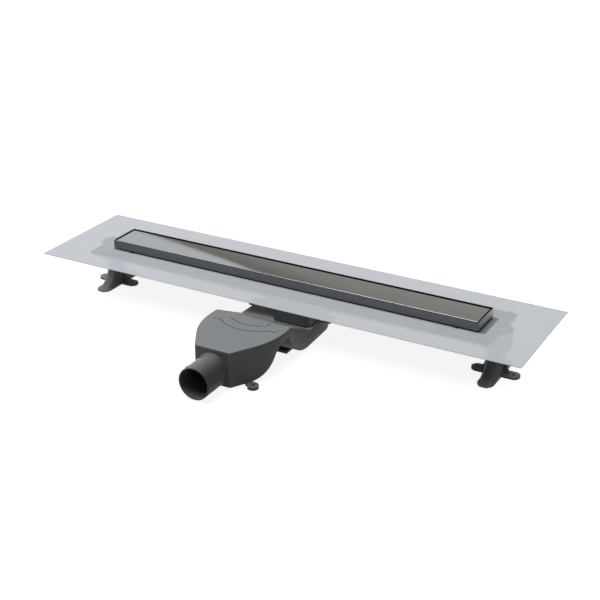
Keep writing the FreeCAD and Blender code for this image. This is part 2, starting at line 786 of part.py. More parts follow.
def roof_band(name):
    body = new_body(name)
    sketch = new_sketch(body, name + "_side", role="YZ_Plane")
    back = "pot_centre_y + pot_radius + lug_thick"
    low_roof = f"{ROOF_TOP} - roof_thick"
    low_plate = f"{PLATE_TOP} - roof_thick"
    front = "-trap_front - lug_thick"
    polygon(sketch, [
        (front, low_roof), ("-roof_back", low_roof), ("-plate_front", low_plate), (back, low_plate),
        (back, PLATE_TOP), ("-plate_front", PLATE_TOP), ("-roof_back", ROOF_TOP), (front, ROOF_TOP),
    ])
    pad(body, sketch, "4 * side_reach", both_ways=True)
    return body


def bead(name, path):
    """A shallow groove along a path in the roof's top."""
    made = doc.addObject("Part::Feature", name)
    outline = Part.Wire(path).makeOffset2D(size("bead_width") / 2, 0, False, False)
    depth = size("bead_depth")
    made.Shape = Part.Face(outline).extrude(Vector(0, 0, 2 * depth))
    made.Placement.Base = Vector(0, 0, -size("finish_height") - size("roof_depth") - depth)
    return made


def bow(half, y, low):
    """A shallow arc from side to side that bows towards the outlet."""
    return Part.Arc(Vector(-half, -y, 0), Vector(0, -low, 0), Vector(half, -y, 0)).toShape()


def straight(x0, y0, x1, y1):
    return Part.makeLine(Vector(x0, y0, 0), Vector(x1, y1, 0))


def beads():
    """Two bowed grooves, the outer one with straight ends; both turn up at the right."""
    bend, half, y = size("bead_outer_bend"), size("bead_outer_half"), size("bead_outer_y")
    tail = size("bead_tail")
    outer = [
        straight(-half, -y, -bend, -y),
        bow(bend, y, size("bead_outer_low")),
        straight(bend, -y, half, -y),
        straight(half, -y, half, tail - y),
    ]
    inner_half, inner_y = size("bead_inner_half"), size("bead_inner_y")
    inner = [
        bow(inner_half, inner_y, size("bead_inner_low")),
        straight(inner_half, -inner_y, inner_half, tail - inner_y),
    ]
    return [bead("bead_outer", outer), bead("bead_inner", inner)]


def make_trap_cover():
    lid = common("lid_band", trap_plan("lid_plan", "0", FLOOR, "floor_depth"), roof_band("roof"))
    pieces = [lid, neck_block("lid_collar", "(wall + collar_gap)", f"{PLATE_TOP} - roof_thick",
                              f"{PLATE_TOP} + collar_rise")]
    for end, sign in (("left", "-"), ("right", "")):
        pieces.append(trap_ear(f"lid_ear_{end}", sign, f"{PLATE_TOP} - roof_thick", "roof_thick"))
    opening = neck_block("lid_opening", "(2 * wall + collar_gap)", f"{PLATE_TOP} - 2 * roof_thick",
                         f"{PLATE_TOP} + 2 * collar_rise")
    cuts = [opening, *beads(), *ear_screw_holes("lid")]
    for end, sign in (("left", "-"), ("right", "")):
        x = f"{sign}(pot_radius + ear_out / 2)"
        cuts.append(screw_head(f"lid_sink_{end}", x, "ear_y", PLATE_TOP))
        countersunk_screw(f"trap_screw_{end}", x, "ear_y", PLATE_TOP, "trap_screw_length")
    return sub_part("trap_cover", cut("trap_lid", fuse("lid_solid", *pieces), fuse("lid_cuts", *cuts)))


# Removable insert: a dip tube that hangs in the neck and makes the water seal

def make_insert():
    body = new_body("insert")
    rim_low = f"{TROUGH_FLOOR} + ring_thick"
    length = "insert_length - 2 * insert_gap"
    width = "insert_width - 2 * insert_gap"
    tip = "(-finish_height - insert_dip_depth)"
    plate(body, "insert_tube", length, width, tip, f"{rim_low} - {tip}", "neck_centre_x", "insert_centre_y")
    plate(body, "insert_rim", "insert_length + 2 * insert_rim", "insert_width + 2 * insert_rim", rim_low,
          "insert_rim_thick", "neck_centre_x", "insert_centre_y")
    hole_through(body, "insert_bore", f"{length} - 2 * insert_wall", f"{width} - 2 * insert_wall",
                 f"{rim_low} + insert_rim_thick", f"{rim_low} + insert_rim_thick - {tip}",
                 "neck_centre_x", "insert_centre_y")
    return sub_part("trap_insert", body)


def make_insert_ring():
    body = new_body("ring")
    plate(body, "ring_plan", "insert_length + 2 * insert_rim", "insert_width + 2 * insert_rim", TROUGH_FLOOR,
          "ring_thick", "neck_centre_x", "insert_centre_y")
    hole_through(body, "ring_inside", "insert_length", "insert_width", f"{TROUGH_FLOOR} + ring_thick", "ring_thick",
                 "neck_centre_x", "insert_centre_y")
    return sub_part("insert_seal", body)


def make_strainer():
    """A slotted plate on the insert's rim that catches hair."""
    body = new_body("strainer")
    low = f"{TROUGH_FLOOR} + ring_thick + insert_rim_thick"
    plate(body, "strainer_plan", "insert_length + 2 * insert_rim", "insert_width + 2 * insert_rim", low,
          "strainer_thick", "neck_centre_x", "insert_centre_y")
    gaps = int((size("insert_length") - 2 * size("strainer_rim")) // size("strainer_pitch"))
    first_x = f"(neck_centre_x - {gaps} / 2 * strainer_pitch)"
    first = hole_through(body, "strainer_first_slot", "strainer_slot", "insert_width - 2 * strainer_rim",
                         f"{low} + strainer_thick", "strainer_thick", first_x, "insert_centre_y")
    row = body.newObject("PartDesign::LinearPattern", "strainer_slots")
    row.Originals = [first]
    row.Direction = (first.Profile[0], ["H_Axis"])
    row.Occurrences = gaps + 1
    bind(row, Length=f"{gaps} * strainer_pitch")
    body.Tip = row
    return sub_part("hair_strainer", body)


# Feet: hollow flared columns with a fixing plate above and two screw ears

def stadium(sketch, half_width, half_length):
    """Two half rounds joined by straight sides, long along Y."""
    outline = Outline(sketch)
    radius = outline.value(half_width)
    run = outline.value(f"({half_length}) - ({half_width})")
    top = outline.arc((0, run, 0), radius, 0, 180)
    left = outline.line((-radius, run, 0), (-radius, -run, 0))
    low = outline.arc((0, -run, 0), radius, 180, 360)
    right = outline.line((radius, -run, 0), (radius, run, 0))
    ring = [top, left, low, right]
    for item, following in zip(ring, ring[1:] + ring[:1]):
        outline.rule("Tangent", item, outline.END, following, outline.START)
    outline.at_x(top, outline.CENTRE, "0")
    outline.at_y(top, outline.CENTRE, f"({half_length}) - ({half_width})")
    outline.at_y(low, outline.CENTRE, f"({half_width}) - ({half_length})")
    outline.set_size("Radius", (top,), half_width)


def bevelled(body, base, name, length):
    """Bevels the edges that run down the column in planes across X."""
    doc.recompute()
    upright = [
        f"Edge{number}" for number, edge in enumerate(base.Shape.Edges, start=1)
        if edge.BoundBox.ZLength > 1 and edge.BoundBox.XLength < 0.01
    ]
    made = body.newObject("PartDesign::Chamfer", name)
    made.Base = (base, upright)
    bind(made, Size=length)
    return made


def flared_column(name, inset, top, bevels):
    """A column that flares front and back, with each upright edge bevelled in turn."""
    body = new_body(name)
    sketch = new_sketch(body, name + "_side", role="YZ_Plane")
    outline = Outline(sketch)
    neck = f"(foot_neck_half_length - {inset})"
    bend = f"(foot_flare_radius + {inset})"
    spread = "(foot_half_length - foot_neck_half_length)"
    fall = f"({spread} * (2 * foot_flare_radius - {spread}))"
    reach = f"({neck} + {bend} - sqrt({bend} ^ 2 - {fall}))"
    top_z, floor_z = outline.value(top), outline.value(FLOOR)
    neck_y, radius, foot_y = outline.value(neck), outline.value(bend), outline.value(reach)
    bend_z = floor_z + math.sqrt(outline.value(fall))
    slant = math.degrees(math.asin((bend_z - floor_z) / radius))

    roof = outline.line((neck_y, top_z, 0), (-neck_y, top_z, 0))
    front_side = outline.line((-neck_y, top_z, 0), (-neck_y, bend_z, 0))
    front_flare = outline.arc((-neck_y - radius, bend_z, 0), radius, -slant, 0)
    sole = outline.line((-foot_y, floor_z, 0), (foot_y, floor_z, 0))
    back_flare = outline.arc((neck_y + radius, bend_z, 0), radius, 180, 180 + slant)
    back_side = outline.line((neck_y, bend_z, 0), (neck_y, top_z, 0))

    outline.rule("Coincident", roof, outline.END, front_side, outline.START)
    outline.rule("Tangent", front_side, outline.END, front_flare, outline.END)
    outline.rule("Coincident", front_flare, outline.START, sole, outline.START)
    outline.rule("Coincident", sole, outline.END, back_flare, outline.END)
    outline.rule("Tangent", back_flare, outline.START, back_side, outline.START)
    outline.rule("Coincident", back_side, outline.END, roof, outline.START)
    for item in (roof, sole):
        outline.rule("Horizontal", item)
    for item in (front_side, back_side):
        outline.rule("Vertical", item)
    outline.at_x(roof, outline.START, neck)
    outline.at_y(roof, outline.START, top)
    outline.at_x(roof, outline.END, f"-{neck}")
    outline.at_x(sole, outline.START, f"-{reach}")
    outline.at_x(sole, outline.END, reach)
    outline.at_y(sole, outline.END, FLOOR)
    outline.set_size("Radius", (front_flare,), bend)
    outline.set_size("Radius", (back_flare,), bend)
    shape = pad(body, sketch, f"2 * (foot_half_width - {inset})", both_ways=True)
    for number, length in enumerate(bevels, start=1):
        shape = bevelled(body, shape, f"{name}_bevel_{number}", length)
    return body


def foot_sole():
    """The long oval rim that the column stands on."""
    body = new_body("foot_sole_rim")
    sketch = new_sketch(body, "foot_sole_plan", level=FLOOR)
    stadium(sketch, "foot_half_width", "foot_half_length")
    pad(body, sketch, "foot_sole")
    return body


def foot_rib():
    """Two upright gussets in line with the ears."""
    rib = new_body("foot_rib")
    sketch = new_sketch(rib, "foot_rib_side", role="XZ_Plane", level="-foot_ear_y")
    reach = "(foot_ear_x - lug_hole - rib_thick)"
    shoulder = "(foot_half_width - foot_wall)"
    polygon(sketch, [
        (f"-{reach}", FLOOR), (reach, FLOOR), (reach, f"{FLOOR} + foot_ear_thick"),
        (shoulder, f"{FLOOR} + rib_height"), (f"-{shoulder}", f"{FLOOR} + rib_height"),
        (f"-{reach}", f"{FLOOR} + foot_ear_thick"),
    ])
    pad(rib, sketch, "rib_thick", both_ways=True)
    return rib


def foot_shape():
    """The bevel outside touches a round edge of radius foot_edge."""
    shoulder = f"({FLANGE_LOW} - socket_height)"
    pieces = [
        flared_column("foot_column", "0", shoulder, ("0.586 * foot_edge",)),
        foot_sole(),
        cylinder("foot_plug", "foot_plug_radius", "socket_height + foot_wall", z=f"{shoulder} - foot_wall"),
        foot_rib(),
    ]
    holes = [
        flared_column("foot_hollow", "foot_wall", f"({shoulder} - foot_wall)", ("foot_edge / 2",)),
        cylinder("foot_pilot", "screw_radius", "foot_screw_length", z=f"{FLANGE_TOP} - foot_screw_length"),
    ]
    for end, sign in (("left", "-"), ("right", "")):
        x = f"{sign}foot_ear_x"
        pieces.append(cylinder(f"foot_ear_{end}", "foot_ear_radius", "foot_ear_thick", x, "foot_ear_y", FLOOR))
        pieces.append(box(f"foot_ear_root_{end}", "foot_ear_x", "2 * foot_ear_radius", "foot_ear_thick",
                          f"{x} / 2", "foot_ear_y", FLOOR))
        holes.append(cylinder(f"foot_ear_hole_{end}", "lug_hole", "3 * foot_ear_thick", x, "foot_ear_y",
                              f"{FLOOR} - foot_ear_thick"))
    return cut("foot", fuse("foot_outside", *pieces), fuse("foot_cavity", *holes))


def make_feet():
    foot = foot_shape()
    doc.recompute()
    copy_of("left_foot", foot, x=f"-{FOOT_X}")
    copy_of("right_foot", foot, x=FOOT_X)
    countersunk_screw("foot_screw_left", f"-{FOOT_X}", "0", FLANGE_TOP, "foot_screw_length")
    countersunk_screw("foot_screw_right", FOOT_X, "0", FLANGE_TOP, "foot_screw_length")


def write_parts():
    """Checks every object and each piece, then writes one file per piece."""
    doc.recompute()
    for thing in doc.Objects:
        if "Invalid" in thing.State or "Error" in thing.State:
            raise RuntimeError(f"{thing.Name} failed: {thing.State}")
    for thing in parts:
        shape = thing.Shape
        if shape.isNull() or not shape.isValid() or not shape.Solids:
            raise RuntimeError(f"{thing.Label} has no valid solid")
    os.makedirs("parts", exist_ok=True)
    for thing in parts:
        thing.Shape.exportStep(os.path.join("parts", f"{thing.Label}.step"))
        print(thing.Label, len(thing.Shape.Solids), round(thing.Shape.Volume))


make_membrane()
make_frame()
make_cover()
make_cover_pads()
make_frame_clips()
make_channel()
make_neck_seal()
make_trap_body()
make_trap_cover()
make_insert()
make_insert_ring()
make_strainer()
make_feet()
write_parts()
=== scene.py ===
import math

import bmesh
import bpy
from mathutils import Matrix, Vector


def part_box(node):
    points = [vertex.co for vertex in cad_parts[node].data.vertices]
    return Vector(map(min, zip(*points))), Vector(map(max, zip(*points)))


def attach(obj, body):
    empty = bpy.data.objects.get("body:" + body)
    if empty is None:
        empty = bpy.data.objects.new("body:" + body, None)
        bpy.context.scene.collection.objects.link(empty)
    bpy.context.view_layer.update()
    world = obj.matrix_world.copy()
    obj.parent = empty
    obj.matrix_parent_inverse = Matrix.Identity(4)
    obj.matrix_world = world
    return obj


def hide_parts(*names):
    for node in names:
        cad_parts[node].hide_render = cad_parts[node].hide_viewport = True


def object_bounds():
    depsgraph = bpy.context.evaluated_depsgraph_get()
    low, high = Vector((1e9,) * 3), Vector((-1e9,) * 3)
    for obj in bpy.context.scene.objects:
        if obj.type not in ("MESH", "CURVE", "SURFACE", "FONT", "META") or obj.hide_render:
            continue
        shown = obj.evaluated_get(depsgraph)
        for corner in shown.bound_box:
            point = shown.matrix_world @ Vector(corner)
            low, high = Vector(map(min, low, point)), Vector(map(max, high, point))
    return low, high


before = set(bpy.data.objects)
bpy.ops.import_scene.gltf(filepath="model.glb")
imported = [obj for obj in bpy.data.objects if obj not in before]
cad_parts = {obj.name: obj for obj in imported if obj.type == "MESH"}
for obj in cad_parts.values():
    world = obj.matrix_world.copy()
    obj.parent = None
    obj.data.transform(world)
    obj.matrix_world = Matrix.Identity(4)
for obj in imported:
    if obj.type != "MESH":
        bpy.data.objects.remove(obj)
cad_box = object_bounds()
MM = 0.001

# The drain is seen from above its right end, from the outlet's side, with a long lens.
# The camera's place and turn are those that make the drain's straight edges fall right.
camera = bpy.data.objects.new("viewer", bpy.data.cameras.new("viewer"))
camera.data.lens = 74.73
camera.data.sensor_width = 36.0
camera.data.clip_start = 0.05
camera.location = (0.86651, -1.53955, 0.77726)
degrees_down = 25.024
degrees_turned = 28.977
camera.rotation_euler = (math.radians(90 - degrees_down), 0.0, math.radians(degrees_turned))
bpy.context.scene.collection.objects.link(camera)
bpy.context.scene.camera = camera
bpy.context.scene.view_settings.view_transform = "Standard"

# A white room floor under the feet, a pale even sky and one broad soft lamp overhead.
# The floor bounces little light up, so that the moulding's sides stay dark.


class Field:
    """A number, colour or vector that varies over a surface."""

    def __init__(self, tree, socket):
        self.tree = tree
        self.socket = socket

    def math(self, operation, first, second):
        node = self.tree.nodes.new("ShaderNodeMath")
        node.operation = operation
        for place, value in zip(node.inputs, (first, second)):
            if isinstance(value, Field):
                self.tree.links.new(value.socket, place)
            else:
                place.default_value = value
        return Field(self.tree, node.outputs[0])

    def __add__(self, other):
        return self.math("ADD", self, other)

    def __radd__(self, other):
        return self.math("ADD", other, self)

    def __sub__(self, other):
        return self.math("SUBTRACT", self, other)

    def __rsub__(self, other):
        return self.math("SUBTRACT", other, self)

    def __mul__(self, other):
        return self.math("MULTIPLY", self, other)

    def __rmul__(self, other):
        return self.math("MULTIPLY", other, self)

    def __truediv__(self, other):
        return self.math("DIVIDE", self, other)

    def __gt__(self, other):
        return self.math("GREATER_THAN", self, other)

    def __lt__(self, other):
        return self.math("LESS_THAN", self, other)

    def between(self, low, high):
        return (self > low) * (self < high)

    def sine(self):
        return self.math("SINE", self, 0.0)


class Finish:
    """A surface finish or a lit background, as nodes."""

    def __init__(self, owner):
        self.owner = owner
        owner.use_nodes = True
        self.tree = owner.node_tree
        self.tree.nodes.clear()

    def node(self, kind, settings=None, inputs=None, output=0):
        """Any node: its settings first, then the values or links of its sockets."""
        made = self.tree.nodes.new(kind)
        for name, value in (settings or {}).items():
            if name == "stops":
                while len(made.color_ramp.elements) < len(value):
                    made.color_ramp.elements.new(1.0)
                for stop, (place, colour) in zip(made.color_ramp.elements, value):
                    stop.position = place
                    stop.color = (*colour, 1.0)
            else:
                setattr(made, name, value)
        for name, value in (inputs or {}).items():
            place = made.inputs[name]
            if isinstance(value, Field):
                self.tree.links.new(value.socket, place)
            elif hasattr(value, "__len__") and len(value) == 3 and place.type == "RGBA":
                place.default_value = (*value, 1.0)
            else:
                place.default_value = value
        return Field(self.tree, made.outputs[output]) if made.outputs else None

    def place(self):
        return self.node("ShaderNodeTexCoord", output="Object")

    def axes(self):
        """The object's own x, y and z, in metres."""
        split = self.tree.nodes.new("ShaderNodeSeparateXYZ")
        self.tree.links.new(self.place().socket, split.inputs[0])
        return [Field(self.tree, socket) for socket in split.outputs]

    def stretched(self, x, y, z):
        """Object coordinates with each axis scaled."""
        return self.node(
            "ShaderNodeMapping", inputs={"Vector": self.place(), "Scale": (x, y, z)}
        )

    def noise(self, vector, scale, detail=2.0):
        return self.node(
            "ShaderNodeTexNoise", inputs={"Vector": vector, "Scale": scale, "Detail": detail}
        )

    def rise(self, value, start, end, top=1.0):
        """0 up to where the value is start, then growing evenly to top where it is end."""
        return self.node(
            "ShaderNodeMapRange",
            inputs={"Value": value, "From Min": start, "From Max": end, "To Max": top},
        )

    def blend(self, share, first, second):
        return self.node(
            "ShaderNodeMix", {"data_type": "RGBA"}, {0: share, 6: first, 7: second}, output=2
        )

    def bump(self, height, distance, strength):
        return self.node(
            "ShaderNodeBump", inputs={"Height": height, "Distance": distance, "Strength": strength}
        )

    def surface(self, **sockets):
        """Finishes the material; each socket is given by its name with underscores."""
        named = {name.replace("_", " "): value for name, value in sockets.items()}
        if "Specular Level" in named:
            named["Specular IOR Level"] = named.pop("Specular Level")
        shader = self.node("ShaderNodeBsdfPrincipled", inputs=named)
        self.node("ShaderNodeOutputMaterial", inputs={"Surface": shader})
        return self.owner


def seen_directly(finish):
    """1 where the camera, a reflection or clear plastic looks, 0 for light that scatters."""
    path = {
        name: finish.node("ShaderNodeLightPath", output=name)
        for name in ("Is Camera Ray", "Is Glossy Ray", "Is Transmission Ray")
    }
    return path["Is Camera Ray"] + path["Is Glossy Ray"] + path["Is Transmission Ray"]


sky = bpy.data.worlds.new("sky")
bpy.context.scene.world = sky
air = Finish(sky)
sky_scatter = 0.12
sky_strength = seen_directly(air) * (1 - sky_scatter) + sky_scatter
bright_air = air.node(
    "ShaderNodeBackground", inputs={"Color": (1.0, 1.0, 1.0), "Strength": sky_strength}
)
air.node("ShaderNodeOutputWorld", inputs={"Surface": bright_air})

floor_mesh = bpy.data.meshes.new("floor")
floor_reach = 12.0
floor_level = cad_box[0][2]
floor_corners = [
    (-floor_reach, -floor_reach, floor_level),
    (floor_reach, -floor_reach, floor_level),
    (floor_reach, floor_reach, floor_level),
    (-floor_reach, floor_reach, floor_level),
]
floor_mesh.from_pydata(floor_corners, [], [(0, 1, 2, 3)])
floor = bpy.data.objects.new("floor", floor_mesh)
bpy.context.scene.collection.objects.link(floor)
paint = Finish(bpy.data.materials.new("floor_paint"))
dull = paint.node("ShaderNodeBsdfDiffuse", inputs={"Color": (0.12, 0.12, 0.12)})
pale = paint.node("ShaderNodeBsdfDiffuse", inputs={"Color": (0.24, 0.24, 0.24)})
glow = paint.node("ShaderNodeEmission", inputs={"Color": (1.0, 1.0, 1.0), "Strength": 0.89})
white = paint.node("ShaderNodeAddShader", inputs={0: pale, 1: glow})
floor_paint = paint.node(
    "ShaderNodeMixShader", inputs={0: seen_directly(paint), 1: dull, 2: white}
)
paint.node("ShaderNodeOutputMaterial", inputs={"Surface": floor_paint})
floor_mesh.materials.append(paint.owner)

lamp = bpy.data.objects.new("overhead", bpy.data.lights.new("overhead", "SUN"))
lamp.data.energy = 3.0
lamp.data.angle = math.radians(50)
lamp.rotation_euler = (math.radians(3), math.radians(-9), 0.0)
bpy.context.scene.collection.objects.link(lamp)

# Studio card: a warm grey board behind the drain that shows only as a reflection in bare metal.
# Its left part ends in a sloping upper edge, which draws the long slanting line on the cover.
card_distance = 1.54
card_outline = [
    (-1.383, 0.756), (-1.289, 0.7655), (-1.197, 0.776), (-1.107, 0.786),
    (-1.018, 0.800), (-0.974, 0.808), (-0.880, 0.820), (-0.880, 1.20),
    (3.20, 1.20), (3.20, 0.20), (-1.60, 0.20), (-1.60, 0.736),
]
studio_card = bpy.data.meshes.new("studio_card")
studio_card.from_pydata(
    [(across, card_distance, up) for across, up in card_outline],
    [],
    [tuple(range(len(card_outline)))],
)
card = bpy.data.objects.new("studio_card", studio_card)
bpy.context.scene.collection.objects.link(card)
matt = Finish(bpy.data.materials.new("card_paint"))
x, y, z = matt.axes()
tones_start = -1.25
tones_length = 4.0
card_tone = matt.node(
    "ShaderNodeValToRGB",
    {"stops": [(0.0, (0.49, 0.46, 0.41)), (0.42, (0.66, 0.61, 0.545)), (0.52, (0.10, 0.10, 0.10))]},
    {"Fac": (x - tones_start) / tones_length},
)
edge_x, edge_z = card_outline[0]
edge_slope = 0.1265
under_edge = edge_z + (x - edge_x) * edge_slope - z
edge_brightness = 0.62
edge_fade_start, edge_fade_end = 0.005, 0.055
edge_tone = matt.blend(edge_brightness, (0.0, 0.0, 0.0), card_tone)
edge_fade = matt.rise(under_edge, edge_fade_start, edge_fade_end)
card_tone = matt.blend(edge_fade, edge_tone, card_tone)
shade_start, shade_end = 0.745, 0.81
top_shade = matt.rise(z, shade_start, shade_end, top=0.16)
card_tone = matt.blend(top_shade, card_tone, (0.0, 0.0, 0.0))
card_glow = matt.node("ShaderNodeEmission", inputs={"Color": card_tone, "Strength": 1.0})
matt.node("ShaderNodeOutputMaterial", inputs={"Surface": card_glow})
studio_card.materials.append(matt.owner)
card.visible_camera = False
card.visible_diffuse = False
card.visible_shadow = False
card.visible_transmission = False

# Cover plate: a stainless tray turned upside down, level with the floor.
# Its edges are folded down and rest on rubber pads, so it lifts out for cleaning.


def softened(node, name, width, segments=2):
    """A copy of a CAD piece with its sharp edges broken to a small radius."""
    same_spot = 1e-6
    flat_enough = math.radians(1.0)
    sharp_enough = math.radians(35)
    shell = bmesh.new()
    shell.from_mesh(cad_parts[node].data)
    bmesh.ops.remove_doubles(shell, verts=shell.verts, dist=same_spot)
    bmesh.ops.dissolve_limit(
        shell,
        angle_limit=flat_enough,
        use_dissolve_boundaries=False,
        verts=shell.verts,
        edges=shell.edges,
    )
    mesh = bpy.data.meshes.new(name)
    shell.to_mesh(mesh)
    shell.free()
    piece = bpy.data.objects.new(name, mesh)
    bpy.context.scene.collection.objects.link(piece)
    edge = piece.modifiers.new("broken_edge", "BEVEL")
    edge.width = width
    edge.segments = segments
    edge.limit_method = "ANGLE"
    edge.angle_limit = sharp_enough
    edge.harden_normals = True
    return piece


def settled(piece):
    """Applies a piece's modifiers, so that its mesh is final."""
    depsgraph = bpy.context.evaluated_depsgraph_get()
    final = bpy.data.meshes.new_from_object(piece.evaluated_get(depsgraph))
    final.name = piece.name
    piece.modifiers.clear()
    piece.data = final
    return piece


def dress(piece, material):
    piece.data.materials.clear()
    piece.data.materials.append(material)


def fitted(piece, material, slot, *nodes):
    """A finished piece in its finish, in place of the CAD nodes it stands for."""
    dress(piece, material)
    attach(piece, "root")
    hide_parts(*nodes)


steel = Finish(bpy.data.materials.new("cover_steel"))
x, y, z = steel.axes()
grain_across, grain_along = 1400.0, 9.0
grain = steel.noise(steel.stretched(grain_across, grain_along, grain_across), 1.0, detail=3.0)
cloud = steel.noise(steel.place(), 7.0)
brushed = steel.blend(grain * 0.5 + cloud * 0.5, (0.330, 0.350, 0.370), (0.356, 0.378, 0.400))
cover_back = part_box("cover_plate")[1][1]
# A strip along the cover's back edge is painted black as the shade of the gap behind it.
back_shade_width = 1.6 * MM
back_edge_shade = y > cover_back - back_shade_width
cover_steel = steel.surface(
    Base_Color=steel.blend(back_edge_shade, brushed, (0.010, 0.010, 0.010)),
    Metallic=1.0,
    Roughness=grain * 0.02 + cloud * 0.01 + 0.02,
    Normal=steel.bump(grain, 0.01 * MM, 0.05),
)
cover = softened("cover_plate", "cover_tray", 0.35 * MM)
fitted(settled(cover), cover_steel, "stainless", "cover_plate")

# Frame: sheet steel welded at the corners, pickled grey on its walls, its rim a little above the
# cover.
# The rim is ground smoother, and its top carries a painted highlight along the front.
# Its inside, the tops of its back rim and ends, a line under the front rim and the end walls' feet
# are painted black as shade; the end walls are painted lighter towards the top and back as light.
frame_low, frame_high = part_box("drain_frame")
end_x, side_y, rim_z = frame_high
frame_wall = 1.5 * MM
rim_top_depth = 0.15 * MM
rim_shade_depth = 0.26 * MM
rim_shade_low, rim_shade_high = rim_z - 0.9 * MM, rim_z - 0.01 * MM
end_wall_shadow_height = 1.4 * MM
inner_margin = 0.3 * MM
back_margin = 0.05 * MM
end_margin = 0.1 * MM
lit_start, lit_full = -60 * MM, 20 * MM
pickled = Finish(bpy.data.materials.new("pickled_steel"))
x, y, z = pickled.axes()
frost = pickled.noise(pickled.place(), 260.0, detail=4.0)
ground_and_highlit_rim = z > rim_z - rim_top_depth
wall_tone = pickled.blend(frost, (0.125, 0.132, 0.142), (0.160, 0.166, 0.174))
between_ends = (x * x) < (end_x - inner_margin) ** 2
behind_front = y > frame_wall * 0.6 - side_y
ahead_of_back = y < side_y - back_margin
end_wall = (x * x) > (end_x - end_margin) ** 2
# A line just under the front rim's top is painted dark as shade.
rim_shade_line = (y < rim_shade_depth - side_y) * z.between(rim_shade_low, rim_shade_high)
# The foot of each end wall is painted black as the shadow of the gap beneath the frame.
end_wall_shadow = end_wall * (z < frame_low[2] + end_wall_shadow_height)
# Painted shade: the frame's inside, the tops of its back rim and ends and the two lines above are
# black.
painted_shade = between_ends * behind_front * ahead_of_back + rim_shade_line * 0.8 + end_wall_shadow
rightward = x / (2 * end_x) + 0.5
# The rim top's tone, pale at the left and dark at the right, is a painted highlight on ground
# steel.
rim_highlight_tone = pickled.blend(rightward, (0.50, 0.51, 0.51), (0.22, 0.22, 0.22))
lit_end = pickled.rise(y + z * 2.5, lit_start, lit_full) * end_wall
outside_tone = pickled.blend(lit_end, wall_tone, (0.58, 0.59, 0.60))
frame_steel = pickled.surface(
    Base_Color=pickled.blend(
        painted_shade, pickled.blend(ground_and_highlit_rim, outside_tone, rim_highlight_tone), (0.004, 0.004, 0.004)
    ),
    Metallic=1.0,
    Roughness=0.38 + frost * 0.10 - ground_and_highlit_rim * 0.14,
    Normal=pickled.bump(frost, 0.03 * MM, 0.3),
)
rim = softened("drain_frame", "welded_frame", 0.25 * MM)
fitted(settled(rim), frame_steel, "stainless", "drain_frame")

# Rubber pads lie on the frame's ledge and carry the cover without a rattle.
# Clips of black plastic hold the frame a little above the sealing sheet.
rubber = Finish(bpy.data.materials.new("black_rubber"))
skin = rubber.noise(rubber.place(), 900.0, detail=3.0)
black_rubber = rubber.surface(
    Base_Color=rubber.blend(skin, (0.022, 0.022, 0.022), (0.040, 0.040, 0.040)),
    Roughness=0.62 + skin * 0.15,
    Normal=rubber.bump(skin, 0.05 * MM, 0.4),
)
black = Finish(bpy.data.materials.new("black_plastic"))
grain = black.noise(black.place(), 1200.0)
black_plastic = black.surface(
    Base_Color=black.blend(grain, (0.030, 0.031, 0.032), (0.045, 0.046, 0.047)),
    Roughness=0.40 + grain * 0.12,
    Normal=black.bump(grain, 0.03 * MM, 0.3),
)


class Recipe:
    """A Geometry Nodes tree whose inputs are the sizes of what it makes."""

    def __init__(self, name, **sizes):
        self.tree = bpy.data.node_groups.new(name, "GeometryNodeTree")
        self.tree.is_modifier = True
        face = self.tree.interface
        face.new_socket("Geometry", in_out="INPUT", socket_type="NodeSocketGeometry")
        self.sizes = sizes
        for size_name, value in sizes.items():
            kind = "NodeSocketFloat" if isinstance(value, float) else "NodeSocketMaterial"
            face.new_socket(size_name, in_out="INPUT", socket_type=kind)
        face.new_socket("Geometry", in_out="OUTPUT", socket_type="NodeSocketGeometry")
        self.inputs = self.tree.nodes.new("NodeGroupInput")

    def size(self, name):
        return self.inputs.outputs[name]

    def node(self, kind, settings=None, inputs=None):
        made = self.tree.nodes.new(kind)
        for name, value in (settings or {}).items():
            setattr(made, name, value)
        for name, value in (inputs or {}).items():
            place = made.inputs[name]
            if isinstance(value, bpy.types.NodeSocket):
                self.tree.links.new(value, place)
            else:
                place.default_value = value
        return made.outputs[0]

    def math(self, operation, *values):
        return self.node("ShaderNodeMath", {"operation": operation}, dict(enumerate(values)))

    def vector(self, **axes):
        return self.node("ShaderNodeCombineXYZ", inputs=axes)

    def join(self, *shapes):
        node = self.tree.nodes.new("GeometryNodeJoinGeometry")
        for shape in reversed(shapes):
            self.tree.links.new(shape, node.inputs[0])
        return node.outputs[0]

    def lifted(self, shape, height):
        """A shape moved straight up by a socket's height or a number's."""
        return self.node(
            "GeometryNodeTransform",
            inputs={"Geometry": shape, "Translation": self.vector(Z=height)},
        )

    def placed(self, points, shape, **turn):
        """The shape on every point, turned where a rotation is given."""
        return self.node(
            "GeometryNodeInstanceOnPoints", inputs={"Points": points, "Instance": shape, **turn}
        )

    def ends(self, shape):
        """Turns instances to real mesh in the right material and sends them out."""
        real = self.node("GeometryNodeRealizeInstances", inputs={"Geometry": shape})
        coloured = self.node(
            "GeometryNodeSetMaterial", inputs={"Geometry": real, "Material": self.size("Material")}
        )
        out = self.tree.nodes.new("NodeGroupOutput")
        self.tree.links.new(coloured, out.inputs[0])

    def made_on(self, name, places):
        """One plain mesh: the shape on each of these places."""
        spots = bpy.data.meshes.new(name + "_spots")
        spots.from_pydata(places, [], [])
        piece = bpy.data.objects.new(name, spots)
        bpy.context.scene.collection.objects.link(piece)
        modifier = piece.modifiers.new(name, "NODES")
        modifier.node_group = self.tree
        for item in self.tree.interface.items_tree:
            if item.in_out == "INPUT" and item.name in self.sizes:
                modifier[item.identifier] = self.sizes[item.name]
        return settled(piece)


def middle(node):
    low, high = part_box(node)
    return [(a + b) / 2 for a, b in zip(low, high)]


def spans(node):
    low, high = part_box(node)
    return [b - a for a, b in zip(low, high)]


